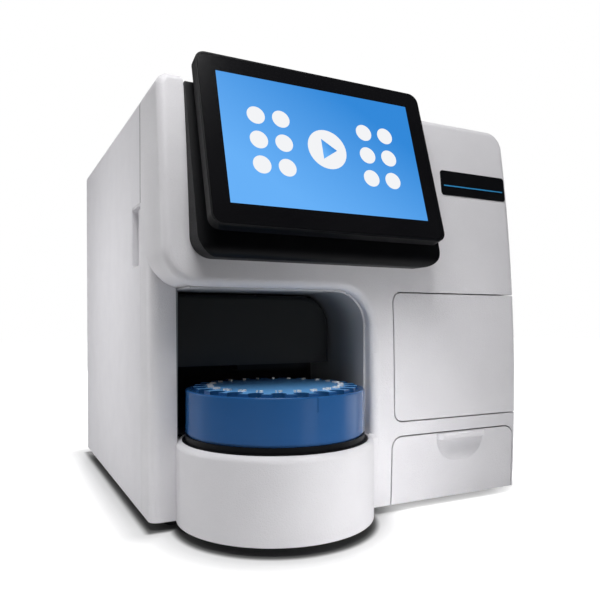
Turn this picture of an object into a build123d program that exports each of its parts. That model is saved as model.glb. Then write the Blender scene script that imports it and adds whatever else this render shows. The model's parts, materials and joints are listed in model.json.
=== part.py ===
from build123d import *
import os
from math import cos, sin, sqrt, radians

# Automated cell counter, millimetres.
# Working frame: X from the left side, Y from the left pillar towards the rear, Z up from the table.

# Body
body_width = 430.0
body_bottom = 8.5
body_top = 440.0
rear_y = 417.0
seam_y = 36.6
skin = 3.0
running = 0.3
seat = 0.05
panel_seam = 1.5

# Crowned front face, an arc in the side view
crown_y = -59.2
crown_z = 115.0
crown_radius = 1967.0
front_edge = 8.0

# Hood, right column and left pillar
column_left = 222.0
hood_bottom = 240.0
hood_corner = 35.0
niche_corner = 38.0
top_corner_left = 12.0
top_corner_right = 22.0
pillar_width = 27.5
pillar_front = -2.3
pillar_lean = 6.7
pillar_corner = 10.0

# Drum base with the cup that holds the turntable
drum_x = 124.8
drum_y = -23.5
drum_radius = 101.5
drum_top = 88.0
drum_edge = 6.0
blend_radius = 13.0
blend_sink = 0.1
cup_radius = 95.5
cup_floor = 72.0

# Niche liner and probe shroud
niche_back = 78.0
liner_wall = 2.0
liner_setback = 12.0
shroud_front = 20.0
shroud_right = 214.0
shroud_bottom = 160.0
shroud_top = 236.0
shroud_corner = 35.0
shroud_edge = 6.0
guide_left = 101.0
guide_right = 184.0
guide_bottom = 154.0
guide_height = 12.0

# Carousel and its drive
carousel_radius = 91.6
carousel_bottom = 94.0
carousel_rim = 138.8
carousel_top = 141.2
plate_radius = 84.0
plate_thickness = 5.0
rim_round = 1.5
foot_step = 2.1
foot_height = 2.5
pocket_count = 24
pocket_radius = 7.25
pocket_circle = 79.5
pocket_depth = 36.2
ring_inner = 66.0
carousel_hub = 14.0
index_depth = 0.8
index_height = 14.0
turntable_flange = 94.3
turntable_radius = 92.0
turntable_step = 88.5
turntable_thickness = 12.0
drive_shaft_radius = 4.0
bearing_radius = 30.0
bearing_height = 8.0
motor_width = 42.3
motor_gap = 20.0

# Reagent door, hinged at the right
door_left = 250.0
door_low = 99.0
door_high = 237.7
door_corner = 10.0
door_flange = 12.0
hinge_y = -20.0
barrel_radius = 6.0
pin_radius = 2.0
pin_length = 20.0
pin_hold = 8.0
strike_height = 24.0
strike_width = 12.0
strike_thickness = 1.5

# Reagent bay and pack
bay_gap = 6.0
bay_front = -38.0
bay_wall = 2.0
pack_side = 8.0
pack_height = 104.0
pack_corner = 8.0

# Waste drawer
drawer_left = 247.5
drawer_edge = 8.2
drawer_high = 81.6
drawer_corner = 12.0
lip_width = 68.0
lip_shift = 6.35
lip_reach = 7.0
lip_height = 7.0
lip_top_round = 3.5
lip_low_round = 2.0
scoop_drop = 27.0
scoop_sink = 7.0
tray_gap = 7.0
tray_front = -44.0
tray_top = 72.0
tray_wall = 2.5
rail_wall = 3.0
rail_height = 34.0
rail_shelf = 6.0
rail_shelf_height = 2.5

# Sheet metal
sheet = 1.5
base_sheet = 2.0
cover_step = 1.5
cover_gap = 0.6
flange_height = 16.0
panel_recess = 6.0
bulkhead_y = 86.0
bulkhead_sheet = 2.0
bulkhead_drop = 14.5
bulkhead_corner = 20.0
cable_hole = 60.0

# Finger pulls at the seam
pull_depth = 8.0
pull_length = 41.8
pull_low = 263.5
pull_high = 329.5
pull_corner = 5.0
pull_slot_back = 24.4
pull_slot_width = 8.0
pull_slot_height = 6.0

# Feet
foot_radius = 12.0
foot_inset = 30.0
foot_front = 22.0
foot_draft = 1.5

# Touch monitor on its wedge
screen_width = 216.96
screen_height = 135.6
screen_x = 49.7
screen_y = -93.1
screen_z = 310.8
screen_tilt = 17.0
bezel_side = 19.0
bezel_bottom = 21.7
bezel_corner = 11.0
frame_depth = 11.0
frame_rim = 2.0
glass_thickness = 2.5
lcd_border = 6.0
lcd_thickness = 6.0
back_inset = 12.0
back_height = 118.0
back_corner = 10.0
wedge_left = 25.0
wedge_right = 296.0
wedge_bottom = 265.0
wedge_top_drop = 8.0
wedge_reach_low = 28.0
wedge_reach_high = 4.0
wedge_corner = 20.0
wedge_edge = 9.0
notch_corner = 8.0
notch_hook = 10.0

# Probe drive in the hood
probe_index = 7.5
probe_radius = 1.25
probe_hole = 5.0
probe_tip = 157.0
carriage_height = 20.0
carriage_half = 24.0
carriage_back_gap = 3.0
rail_half = 26.0
rail_low = 248.0
rail_plate = 5.0
rail_reach = 42.0
guide_rod_radius = 3.0
guide_rod_x = 17.0
actuator_rod_radius = 3.0
rod_setback = 16.0
probe_motor_width = 28.0
probe_motor_height = 34.0
sleeve_radius = 7.0
drive_margin = 4.0
drive_headroom = 22.0
drive_clearance = 7.0

# Syringe pump behind the bulkhead
pump_x = 60.0
pump_width = 46.0
pump_depth = 60.0
pump_low = 110.0
pump_high = 250.0
barrel_out = 7.0
barrel_bore = 5.0
barrel_length = 60.0
plunger_stroke = 30.0
plunger_rod = 2.5
valve_radius = 16.0
valve_height = 24.0
syringe_motor_height = 34.0

# Optics
bench_left = 240.0
bench_right = 410.0
bench_low = 150.0
bench_thickness = 6.0
bench_rear = 312.0
bench_post_radius = 6.0
optic_height = 40.0
camera_width = 44.0
camera_length = 60.0
camera_start = 40.0
lens_radius = 14.0
lens_length = 46.0
lens_nose_radius = 9.8
cell_width = 40.0
cell_thickness = 12.0
cell_gap = 10.0
cell_window = 8.4
led_radius = 18.0
led_length = 30.0
led_gap = 14.0

# Power and control
supply_left = 40.0
supply_width = 110.0
supply_depth = 170.0
supply_height = 44.0
supply_gap = 23.0
supply_vent_side = 27.5
supply_vent_start = 42.5
board_left = 180.0
board_width = 200.0
board_depth = 80.0
board_lift = 8.0
board_thickness = 1.6
standoff_radius = 3.0
standoff_inset = 8.0
chip_size = 33.0
plug_left = 100.0
plug_length = 66.0
plug_width = 16.0
usb_width = 14.5
usb_height = 16.0
network_width = 16.0
network_height = 13.5
port_depth = 20.0
port_wall = 0.8
port_shift = 40.0
port_pitch = 30.0
port_proud = 1.5

# Fan and vents
fan_size = 80.0
fan_depth = 25.0
fan_bore = 38.0
fan_x = 330.0
fan_drop = 93.5
fan_hub = 17.0
fan_pin = 2.0
fan_strut = 4.0
fan_blades = 7
fan_blade_reach = 36.0
fan_blade_pitch = 35.0
fan_blade_chord = 16.0
fan_blade_thickness = 1.6
fan_plate = 4.0
guard_wire = 1.6
guard_rings = 4
guard_thickness = 1.2
guard_tab = 8.0
guard_angle = 45.0
vent_left = 50.0
vent_width = 150.0
vent_drop = 138.5
vent_pitch = 9.0
vent_rows = 10
vent_slot = 3.6

# Power inlet with its rocker
inlet_x = 72.0
inlet_low = 34.0
inlet_width = 34.0
inlet_height = 56.0
inlet_depth = 28.0
inlet_flange = 5.0
inlet_flange_depth = 2.5
socket_width = 24.0
socket_height = 17.0
socket_depth = 17.0
socket_rise = 16.8
socket_pin_width = 2.0
socket_pin_height = 4.0
socket_pin_pitch = 7.0
rocker_width = 19.0
rocker_height = 13.0
rocker_depth = 9.0
rocker_angle = 7.0
rocker_rise = 44.8
rocker_reach = 6.0
rocker_dip = 3.6

# Rear screws
screw_head_radius = 3.2
screw_head_height = 2.0
screw_inset = 14.0

# Worked-out values
front_limit = drum_y - drum_radius
cover_top = body_top - cover_step
drawer_right = body_width - drawer_edge
lip_left = (drawer_left + drawer_right - lip_width) / 2 + lip_shift
lip_right = lip_left + lip_width
hinge_x = body_width - barrel_radius
floor_top = body_bottom + base_sheet
panel_y = rear_y - panel_recess
supply_front = panel_y - inlet_depth - supply_gap - supply_depth
pillar_top = hood_bottom + hood_corner
cup_bottom = cup_floor - skin
liner_left = pillar_width
probe_x = drum_x + pocket_circle * sin(radians(probe_index))
probe_y = drum_y + pocket_circle * cos(radians(probe_index))
rod_y = bulkhead_y - rail_plate - rod_setback
drive_stack = 2 * rail_plate + carriage_height + drive_headroom + probe_motor_height
drive_travel = (cover_top - sheet - drive_clearance - rail_low - drive_stack) / 2
carriage_low = rail_low + rail_plate + drive_travel + drive_margin
carriage_top = carriage_low + carriage_height
rail_high = carriage_top + drive_headroom + rail_plate
motor_top = rail_high + probe_motor_height
sleeve_top = motor_top + drive_travel - drive_margin
wedge_top = body_top - wedge_top_drop
bulkhead_top = cover_top - bulkhead_drop
fan_z = cover_top - fan_drop
vent_low = cover_top - vent_drop
bay_left = door_left + bay_gap
bay_right = hinge_x - barrel_radius - bay_gap
tray_left = drawer_left + tray_gap
tray_right = drawer_right - tray_gap
tray_low = floor_top + rail_shelf_height + running
bench_x = (bench_left + bench_right) / 2
optic_z = bench_low + bench_thickness + optic_height
through = 1.0


def block(x0, x1, y0, y1, z0, z1):
    """A box between two corners."""
    return Pos((x0 + x1) / 2, (y0 + y1) / 2, (z0 + z1) / 2) * Box(x1 - x0, y1 - y0, z1 - z0)


def post(x, y, radius, z0, z1):
    """An upright cylinder."""
    return Pos(x, y, (z0 + z1) / 2) * Cylinder(radius, z1 - z0)


def spindle(x, z, radius, y0, y1):
    """A cylinder along Y."""
    return Pos(x, (y0 + y1) / 2, z) * Rot(90, 0, 0) * Cylinder(radius, y1 - y0)


def panel(a0, a1, b0, b1, radius=0.0):
    """A rectangle between two corners, with rounded corners if a radius is given."""
    middle = Pos((a0 + a1) / 2, (b0 + b1) / 2)
    if radius > 0:
        return middle * RectangleRounded(a1 - a0, b1 - b0, radius)
    return middle * Rectangle(a1 - a0, b1 - b0)


def along_y(sketch, y0, y1):
    """Extrude a front-view sketch from y0 to y1."""
    return extrude(Plane.XZ.offset(-y1) * sketch, y1 - y0)


def along_x(sketch, x0, x1):
    """Extrude a side-view sketch from x0 to x1."""
    return extrude(Plane.YZ.offset(x0) * sketch, x1 - x0)


def along_z(sketch, z0, z1):
    """Extrude a plan-view sketch from z0 to z1."""
    return extrude(Pos(0, 0, z0) * sketch, z1 - z0)


def round_corner(sketch, point, radius):
    """Round the one corner of a sketch that lies at a point."""
    return fillet(sketch.vertices().sort_by_distance(point)[0], radius)


# Front fascia


def front_face(z, inset=0.0):
    """Y of the crowned front at a height."""
    return crown_y + crown_radius - sqrt((crown_radius - inset) ** 2 - (z - crown_z) ** 2)


def front_profile(inset, rear, low, high):
    """Side view of everything behind the crowned front."""
    middle = (low + high) / 2
    start = (front_face(low, inset), low)
    end = (front_face(high, inset), high)
    arc = ThreePointArc(start, (front_face(middle, inset), middle), end)
    return make_face(arc + Polyline(end, (rear, high), (rear, low), start))


def hood_outline(inset):
    """Front view of the hood and the right column, an upside-down L."""
    low = body_bottom - 2 * inset
    whole = panel(0, body_width, low, body_top)
    whole = round_corner(whole, (0, body_top), top_corner_left)
    whole = round_corner(whole, (body_width, body_top), top_corner_right)
    void = panel(-through, column_left, low - through, hood_bottom)
    void = round_corner(void, (column_left, hood_bottom), niche_corner)
    outline = round_corner(whole - void, (0, hood_bottom), hood_corner)
    if inset > 0:
        return offset(outline, -inset)
    return outline


def mount_notch(inset):
    """Front view of the channel in the hood's top that takes the tongue of the screen mount."""
    left = wedge_left - running - inset
    right = wedge_right + running + inset
    low = wedge_top - skin - inset
    high = body_top - inset
    whole = panel(0, body_width, low, high)
    banks = whole - panel(left, right, low - through, high + through)
    for x in (left, right):
        banks = round_corner(banks, (x, high), notch_corner)
    return panel(left - notch_corner, right + notch_corner, low, high + through) - banks


def hood_and_column(inset):
    """The hood and the column as one mass with soft front edges."""
    rear = seam_y + inset
    low = body_bottom - inset
    profile = front_profile(inset, rear, low - through, body_top + through)
    mass = along_x(profile, -through, body_width + through)
    mass &= along_y(hood_outline(inset), crown_y - through, rear)
    rim = mass.faces().sort_by(Axis.Y)[0].edges().sort_by(Axis.Z)[1:]
    mass = fillet(rim, front_edge - inset)
    return mass - along_y(mount_notch(inset), crown_y - through, seam_y - notch_hook + inset)


def pillar(inset):
    """The left pillar, leaning back a little, with a rounded outer corner."""
    low = body_bottom - inset
    rear = seam_y + inset
    plan = panel(inset, pillar_width - inset, pillar_front + inset, rear)
    plan = round_corner(plan, (inset, pillar_front + inset), pillar_corner - inset)
    rise = Vector(0, pillar_lean, pillar_top - low)
    leaning = extrude(Pos(0, 0, low) * plan, rise.length, dir=rise.normalized())
    return leaning & block(0, pillar_width, pillar_front, rear, low, pillar_top)


def drum():
    """The drum: a skirt at the front and a full round cup at the top."""
    whole = post(drum_x, drum_y, drum_radius, body_bottom, drum_top)
    whole = fillet(whole.edges().group_by(Axis.Z)[-1], drum_edge)
    rear = drum_y + drum_radius + through
    return whole - block(0, body_width, pillar_front + skin, rear, body_bottom - through, cup_bottom)


def blend_section(face_y):
    """Plan view of the hollow blend between the drum and the column's front."""
    reach = drum_radius + blend_radius - blend_sink
    drop = face_y - blend_radius + blend_sink - drum_y
    across = sqrt(reach ** 2 - drop ** 2)
    centre = Vector(drum_x + across, drum_y + drop)
    on_face = centre + Vector(0, blend_radius)
    to_drum = Vector(-across, -drop).normalized()
    on_drum = centre + to_drum * blend_radius
    middle = centre + (to_drum + Vector(0, 1)).normalized() * blend_radius
    in_drum = centre + to_drum * (blend_radius + 2 * skin)
    in_face = Vector(centre.X, face_y + blend_radius)
    arc = ThreePointArc(on_face, middle, on_drum)
    return make_face(arc + Polyline(on_drum, in_drum, in_face, on_face)), centre


def blend():
    """The blend at the column, with its top edge rounded like the drum's."""
    low, _ = blend_section(front_face(body_bottom))
    high, centre = blend_section(front_face(drum_top))
    web = loft([Pos(0, 0, body_bottom) * low, Pos(0, 0, drum_top) * high])
    edge_z = drum_top - drum_edge
    reach = blend_radius + drum_edge
    cutter = post(centre.X, centre.Y, reach, edge_z, drum_top + through)
    cutter -= Pos(centre.X, centre.Y, edge_z) * Torus(reach, drum_edge)
    return web - cutter


def pillar_face(z):
    """Y of the pillar's front at a height."""
    return pillar_front + pillar_lean * (z - body_bottom) / (pillar_top - body_bottom)


def door_outline(grow):
    """Front view of the door, running past the right side."""
    right = body_width + 2 * barrel_radius
    outline = panel(door_left - grow, right, door_low - grow, door_high + grow)
    for z in (door_low - grow, door_high + grow):
        outline = round_corner(outline, (door_left - grow, z), door_corner + grow)
    return outline


def drawer_outline(grow):
    """Front view of the drawer, running past the bottom."""
    low = body_bottom - 2 * drawer_corner
    outline = panel(drawer_left - grow, drawer_right + grow, low, drawer_high + grow)
    for x in (drawer_left - grow, drawer_right + grow):
        outline = round_corner(outline, (x, drawer_high + grow), drawer_corner + grow)
    return outline


def jamb(outline, rear):
    """The wall that lines an opening of the front."""
    return along_y(outline(panel_seam + skin) - outline(panel_seam), crown_y - through, rear)


def hinge_pin_ends():
    """The lower end of each hinge pin."""
    return (door_low - pin_hold, door_high + pin_hold - pin_length)


def front_fascia():
    mass = hood_and_column(0)
    outer = mass + pillar(0) + drum() + blend()
    hollow = post(drum_x, drum_y, drum_radius - skin, body_bottom - through, cup_bottom)
    shell = outer - hood_and_column(skin) - pillar(skin) - hollow
    ledge = hinge_y + 2 * barrel_radius
    shell += (jamb(door_outline, ledge) + jamb(drawer_outline, bay_front)) & mass
    shell -= block(skin, body_width - skin, pillar_front + skin, seam_y + through, body_bottom - through,
                   floor_top + running)
    shell -= post(drum_x, drum_y, cup_radius, cup_floor, drum_top + through)
    shell -= post(drum_x, drum_y, bearing_radius / 2, cup_bottom - through, drum_top)
    door_gap = hinge_y + barrel_radius + panel_seam
    shell -= along_y(door_outline(panel_seam), crown_y - through, door_gap)
    shell -= along_y(drawer_outline(panel_seam), crown_y - through, bay_front)
    for z in hinge_pin_ends():
        shell -= post(hinge_x, hinge_y, pin_radius + seat, z, z + pin_length)
    return shell


# Reagent door and drawer


def front_skin():
    """The front wall alone, before the openings are cut."""
    return hood_and_column(0) - hood_and_column(skin)


def reagent_door():
    door = front_skin() & along_y(door_outline(0), crown_y - through, hinge_y)
    rim = along_y(door_outline(0) - door_outline(-skin), crown_y - through, crown_y + door_flange)
    door += rim & hood_and_column(0)
    door += post(hinge_x, hinge_y, barrel_radius, door_low, door_high)
    for z in hinge_pin_ends():
        door -= post(hinge_x, hinge_y, pin_radius + running, z - running, z + pin_length + running)
    return door


def door_hinge_pins():
    return Part() + [post(hinge_x, hinge_y, pin_radius, z, z + pin_length) for z in hinge_pin_ends()]


def catch_z():
    return (door_low + door_high) / 2


def door_strike():
    face = front_face(catch_z(), skin)
    low = catch_z() - strike_height / 2
    left = bay_left + bay_wall
    plate = block(left, left + strike_width, face - skin, face + strike_thickness, low, low + strike_height)
    return plate & hood_and_column(skin)


def door_magnet():
    front = front_face(catch_z(), skin) + strike_thickness + running
    low = catch_z() - strike_height / 2
    left = bay_left + bay_wall
    return block(left, left + strike_width, front, bay_front + strike_width, low, low + strike_height)


def reagent_bay():
    low = door_low + bay_wall
    high = door_high - bay_wall
    bay = block(bay_left, bay_right, bay_front, bulkhead_y, low, high)
    return bay - block(bay_left + bay_wall, bay_right - bay_wall, bay_front - through, bulkhead_y - bay_wall,
                       low + bay_wall, high - bay_wall)


def reagent_pack():
    low = door_low + 2 * bay_wall
    left = bay_left + bay_wall + pack_side + strike_width
    right = bay_right - bay_wall - pack_side
    front = bay_front + pack_side
    rear = bulkhead_y - bay_wall - pack_side
    pack = along_z(panel(left, right, front, rear, pack_corner), low, low + pack_height)
    pack = fillet(pack.edges().group_by(Axis.Z)[-1], pack_corner / 2)
    grip_z = low + pack_height / 2
    middle = (left + right) / 2
    grip = along_y(panel(middle - 2 * pack_corner, middle + 2 * pack_corner, grip_z, grip_z + 2 * pack_corner,
                         pack_corner / 2), front - through, front + pack_corner)
    return pack - grip


def drawer_front():
    front = front_skin() & along_y(drawer_outline(0), crown_y - through, bay_front)
    face = front_face(drawer_high)
    front += scoop(face, skin) & hood_and_column(0)
    front -= scoop(face, 0)
    return front + grip_lip(face)


def scoop(face, grow):
    """The hollow of the face under the lip, deepest at the lip."""
    radius = (scoop_drop ** 2 + scoop_sink ** 2) / (2 * scoop_sink)
    rim = radius + grow
    z = drawer_high - lip_height
    slot = SlotCenterToCenter(lip_width - 2 * scoop_drop, 2 * rim)
    bar = revolve(slot & panel(-2 * rim, 2 * rim, 0, rim + through), Axis.X)
    bar = Pos((lip_left + lip_right) / 2, face + scoop_sink - radius, z) * bar
    return bar & block(lip_left - grow, lip_right + grow, crown_y - lip_reach, bay_front,
                       body_bottom, z + grow)


def grip_lip(face):
    """The lip over the scoop, rounded in the side view and in the plan."""
    low = drawer_high - lip_height
    tip = face - lip_reach
    profile = panel(tip, face + skin, low, drawer_high)
    profile = round_corner(profile, (tip, drawer_high), lip_top_round)
    profile = round_corner(profile, (tip, low), lip_low_round)
    plan = panel(lip_left, lip_right, tip, face + skin)
    for x in (lip_left, lip_right):
        plan = round_corner(plan, (x, tip), lip_reach)
    return along_x(profile, lip_left, lip_right) & along_z(plan, low, drawer_high)


def drawer_tray():
    rear = bulkhead_y - tray_wall
    tray = block(tray_left, tray_right, tray_front, rear, tray_low, tray_top)
    tray -= block(tray_left + tray_wall, tray_right - tray_wall, tray_front + tray_wall, rear - tray_wall,
                  tray_low + tray_wall, tray_top + through)
    for x in (tray_left, tray_right - tray_wall):
        tray += block(x, x + tray_wall, crown_y, tray_front, tray_low, tray_top)
    return tray & hood_space()


def hood_space():
    """Everything behind the inner face of the front wall."""
    return along_x(front_profile(skin, rear_y, body_bottom, body_top), 0, body_width)


def drawer_rails():
    rails = Part()
    front = bay_front + 2 * running
    for wall_x, shelf_x in ((tray_left - running - rail_wall, tray_left - running),
                            (tray_right + running, tray_right + running - rail_shelf)):
        rails += block(wall_x, wall_x + rail_wall, front, bulkhead_y, floor_top, floor_top + rail_height)
        rails += block(shelf_x, shelf_x + rail_shelf, front, bulkhead_y,
                       floor_top, floor_top + rail_shelf_height)
    return rails


# Sample niche


def niche_outline(inset):
    """Front view of the niche behind the hood."""
    return panel(liner_left + inset, column_left - inset, drum_top - skin + inset, hood_bottom - inset)


def niche_liner():
    left_front = pillar_face(hood_bottom) + running
    whole = along_y(niche_outline(0), left_front, niche_back + liner_wall)
    liner = whole - along_y(niche_outline(liner_wall), left_front - through, niche_back)
    liner -= block(liner_left + liner_wall, body_width, crown_y, seam_y, body_bottom, body_top)
    liner += along_y(liner_arch(), front_face(hood_bottom) + liner_setback, seam_y)
    liner -= post(drum_x, drum_y, drum_radius + running, body_bottom, drum_top + through)
    liner -= post(probe_x, probe_y, probe_hole, hood_bottom - 2 * liner_wall, hood_bottom + through)
    return liner


def liner_arch():
    """Front view of the liner under the hood and along the column, round like the niche."""
    low = drum_top - skin
    right = column_left - liner_wall
    high = hood_bottom - liner_wall
    outer = panel(liner_left, column_left, low, hood_bottom)
    outer = round_corner(outer, (column_left, hood_bottom), niche_corner)
    inner = panel(liner_left - through, right, low - through, high)
    return outer - round_corner(inner, (right, high), niche_corner - liner_wall)


def probe_shroud():
    left = liner_left + liner_wall
    outline = panel(left, shroud_right, shroud_bottom, shroud_top)
    outline = round_corner(outline, (shroud_right, shroud_top), shroud_corner)
    box = along_y(outline, shroud_front, niche_back)
    face = box.faces().sort_by(Axis.Y)[0]
    rim = [edge for edge in face.edges()
           if edge.center().Z > shroud_bottom + through and edge.center().X > left + through]
    box = fillet(rim, shroud_edge)
    inner = panel(left, shroud_right - skin, shroud_bottom - skin, shroud_top - skin)
    inner = round_corner(inner, (shroud_right - skin, shroud_top - skin), shroud_corner - skin)
    box -= along_y(inner, shroud_front + skin, niche_back)
    return box - post(probe_x, probe_y, probe_hole, shroud_bottom, shroud_top + through)


def probe_guide():
    top = guide_bottom + guide_height
    guide = block(guide_left, guide_right, shroud_front + skin, niche_back, guide_bottom, top)
    return guide - post(probe_x, probe_y, probe_radius + running, guide_bottom - through, top + through)


def carousel_profile():
    """Half section of the carousel."""
    under = carousel_top - plate_thickness
    foot = carousel_radius - foot_step
    foot_top = carousel_bottom + foot_height
    points = [(0, carousel_bottom), (carousel_hub, carousel_bottom), (carousel_hub, under),
              (ring_inner, under), (ring_inner, carousel_bottom), (foot, carousel_bottom), (foot, foot_top),
              (carousel_radius, foot_top), (carousel_radius, carousel_rim), (plate_radius, carousel_rim),
              (plate_radius, carousel_top), (0, carousel_top)]
    section = make_face(Polyline(*points, close=True))
    return round_corner(section, (carousel_radius, carousel_rim), rim_round)


def carousel():
    body = revolve(Plane.XZ * carousel_profile(), Axis.Z)
    pocket = post(0, 0, pocket_radius, carousel_top - pocket_depth, carousel_top + through)
    first = 360 / pocket_count / 2
    body -= PolarLocations(pocket_circle, pocket_count, start_angle=first) * pocket
    body -= block(-index_depth / 2, index_depth / 2,
                  -carousel_radius - through, index_depth - carousel_radius,
                  carousel_rim - index_height, carousel_top)
    return Pos(drum_x, drum_y, 0) * body


def turntable():
    low = carousel_bottom - turntable_thickness
    disc = post(drum_x, drum_y, turntable_flange, low, turntable_step)
    disc += post(drum_x, drum_y, turntable_radius, turntable_step, carousel_bottom)
    disc += post(drum_x, drum_y, bearing_radius / 2, cup_floor + bearing_height + running, low)
    return disc - post(drum_x, drum_y, drive_shaft_radius + seat, cup_floor, carousel_bottom - 2 * skin)


def turntable_bearing():
    ring = post(drum_x, drum_y, bearing_radius, cup_floor, cup_floor + bearing_height)
    return ring - post(drum_x, drum_y, drive_shaft_radius + running, cup_floor - through, drum_top)


def carousel_shaft():
    return post(drum_x, drum_y, drive_shaft_radius, cup_bottom - motor_gap - skin, carousel_bottom - 2 * skin)


def carousel_motor():
    top = cup_bottom - motor_gap
    half = motor_width / 2
    plan = panel(drum_x - half, drum_x + half, drum_y - half, drum_y + half, skin)
    motor = along_z(plan, floor_top, top)
    return motor - post(drum_x, drum_y, drive_shaft_radius + running, top - 2 * skin, top + through)


# Probe drive


def probe_rail():
    back = bulkhead_y - rail_plate
    front = back - rail_reach
    left = probe_x - rail_half
    right = probe_x + rail_half
    rail = block(left, right, back, bulkhead_y, rail_low, rail_high)
    for z in (rail_low, rail_high - rail_plate):
        rail += block(left, right, front, back, z, z + rail_plate)
    rail -= post(probe_x, probe_y, probe_hole, rail_low - through, rail_high + through)
    top_plate = rail_high - rail_plate
    return rail - post(probe_x, rod_y, actuator_rod_radius + running,
                       top_plate - through, rail_high + through)


def probe_rods():
    low = rail_low + rail_plate
    high = rail_high - rail_plate
    return Part() + [post(probe_x + side * guide_rod_x, rod_y, guide_rod_radius, low, high)
                     for side in (-1, 1)]


def actuator_rod():
    """The rod that the motor pushes down, fixed in the carriage."""
    low = carriage_low + carriage_height / 2
    return post(probe_x, rod_y, actuator_rod_radius, low, sleeve_top - 2 * skin)


def probe_motor():
    half = probe_motor_width / 2
    plan = panel(probe_x - half, probe_x + half, rod_y - half, rod_y + half, skin)
    motor = along_z(plan, rail_high, motor_top)
    motor += post(probe_x, rod_y, sleeve_radius, motor_top, sleeve_top)
    return motor - post(probe_x, rod_y, actuator_rod_radius + running, rail_high - through, sleeve_top - skin)


def probe_carriage():
    back = bulkhead_y - rail_plate - carriage_back_gap
    front = probe_y - 2 * skin
    plan = panel(probe_x - carriage_half, probe_x + carriage_half, front, back, skin)
    carriage = along_z(plan, carriage_low, carriage_top)
    carriage -= post(probe_x, probe_y, probe_radius + seat, carriage_low - through, carriage_top + through)
    carriage -= post(probe_x, rod_y, actuator_rod_radius + seat, carriage_low + carriage_height / 2,
                     carriage_top + through)
    for side in (-1, 1):
        carriage -= post(probe_x + side * guide_rod_x, rod_y, guide_rod_radius + running,
                         carriage_low - through, carriage_top + through)
    return carriage


def sample_probe():
    return post(probe_x, probe_y, probe_radius, probe_tip, carriage_top + drive_margin)


# Housing sheets


def cover_outline(inset):
    """Front view of the wrap cover's outside or inside."""
    low = body_bottom - 2 * inset
    right = body_width - inset
    high = cover_top - inset
    outline = panel(inset, right, low, high)
    outline = round_corner(outline, (inset, high), top_corner_left - cover_step - inset)
    return round_corner(outline, (right, high), top_corner_right - cover_step - inset)


def wrap_cover():
    front = seam_y + cover_gap
    cover = along_y(cover_outline(0), front, rear_y) - along_y(cover_outline(sheet), front - through,
                                                               rear_y + through)
    return cover - along_x(pull_outline(0), -through, pull_depth)


def pull_outline(inset):
    """Side view of a finger pull, open towards the seam."""
    front = seam_y + cover_gap - 2 * pull_corner + inset
    rear = seam_y + pull_length - inset
    return panel(front, rear, pull_low + inset, pull_high - inset, pull_corner - inset)


def side_pull():
    """A shallow cup behind the notch of the cover."""
    front = seam_y + cover_gap
    cup = along_x(pull_outline(running), running, pull_depth)
    cup -= along_x(pull_outline(running + sheet), -through, pull_depth - sheet)
    cup &= block(0, pull_depth, front, rear_y, pull_low, pull_high)
    middle = seam_y + pull_slot_back
    for z in (pull_low + 2 * sheet, pull_high - 2 * sheet - pull_slot_height):
        cup -= block(-through, pull_depth + through,
                     middle - pull_slot_width / 2, middle + pull_slot_width / 2,
                     z, z + pull_slot_height)
    return cup


def base_plate():
    inner = skin + running
    rear = panel(sheet, body_width - sheet, seam_y + cover_gap, panel_y)
    middle = panel(inner, body_width - inner, pillar_face(body_bottom) + inner, seam_y + cover_gap)
    tongue = Pos(drum_x, drum_y) * Circle(drum_radius - skin - running)
    drawer_floor = panel(column_left + inner, body_width - inner, bay_front, seam_y)
    plate = along_z(rear + middle + tongue + drawer_floor, body_bottom, floor_top)
    for x in (sheet, body_width - 2 * sheet):
        plate += block(x, x + sheet, seam_y + cover_gap, panel_y - sheet,
                       floor_top, floor_top + flange_height)
    return plate


def mid_bulkhead():
    side = 2 * sheet + running
    sheet_outline = panel(side, body_width - side, floor_top, bulkhead_top)
    sheet_outline = fillet(sheet_outline.vertices().group_by(Axis.Y)[-1], bulkhead_corner)
    half = cable_hole / 2
    hole_z = (rail_high + hood_bottom) / 2
    for x in (probe_x + rail_half + cable_hole, body_width - cable_hole):
        sheet_outline -= panel(x - half, x + half, hole_z - half, hole_z + half, bulkhead_corner)
    return along_y(sheet_outline, bulkhead_y, bulkhead_y + bulkhead_sheet)


def rear_panel():
    outline = cover_outline(sheet) & panel(0, body_width, floor_top, body_top)
    outline -= Pos(fan_x, fan_z) * Circle(fan_bore)
    for row in range(vent_rows):
        slot = SlotOverall(vent_width, vent_slot)
        outline -= Pos(vent_left + vent_width / 2, vent_low + row * vent_pitch) * slot
    outline -= inlet_cutout(running)
    for x, z, width, height in port_places():
        outline -= panel(x - running, x + width + running, z - running, z + height + running)
    return along_y(outline, panel_y - sheet, panel_y)


def feet():
    pads = Part()
    for x in (foot_inset, body_width - foot_inset):
        for y in (foot_front, panel_y - foot_inset):
            pads += Pos(x, y, body_bottom / 2) * Cone(foot_radius - foot_draft, foot_radius, body_bottom)
    return pads


def rear_screws():
    heads = Part()
    rows = (floor_top + screw_inset, (floor_top + cover_top) / 2, cover_top - 2 * screw_inset)
    for x in (screw_inset, body_width - screw_inset):
        for z in rows:
            heads += spindle(x, z, screw_head_radius, panel_y, panel_y + screw_head_height)
    return heads


# Monitor


def screen_plane(depth=0.0):
    """The monitor's own plane: origin at the lower left of the picture, facing the user."""
    tilt = radians(screen_tilt)
    plane = Plane((screen_x, screen_y, screen_z), x_dir=(1, 0, 0), z_dir=(0, -cos(tilt), sin(tilt)))
    return plane.offset(-depth)


def screen_slab(grow_side, grow_low, grow_high, radius, near, far):
    """A rounded plate parallel to the screen, between two depths behind its face."""
    outline = panel(-grow_side, screen_width + grow_side, -grow_low, screen_height + grow_high, radius)
    return extrude(screen_plane(far) * outline, far - near)


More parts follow.
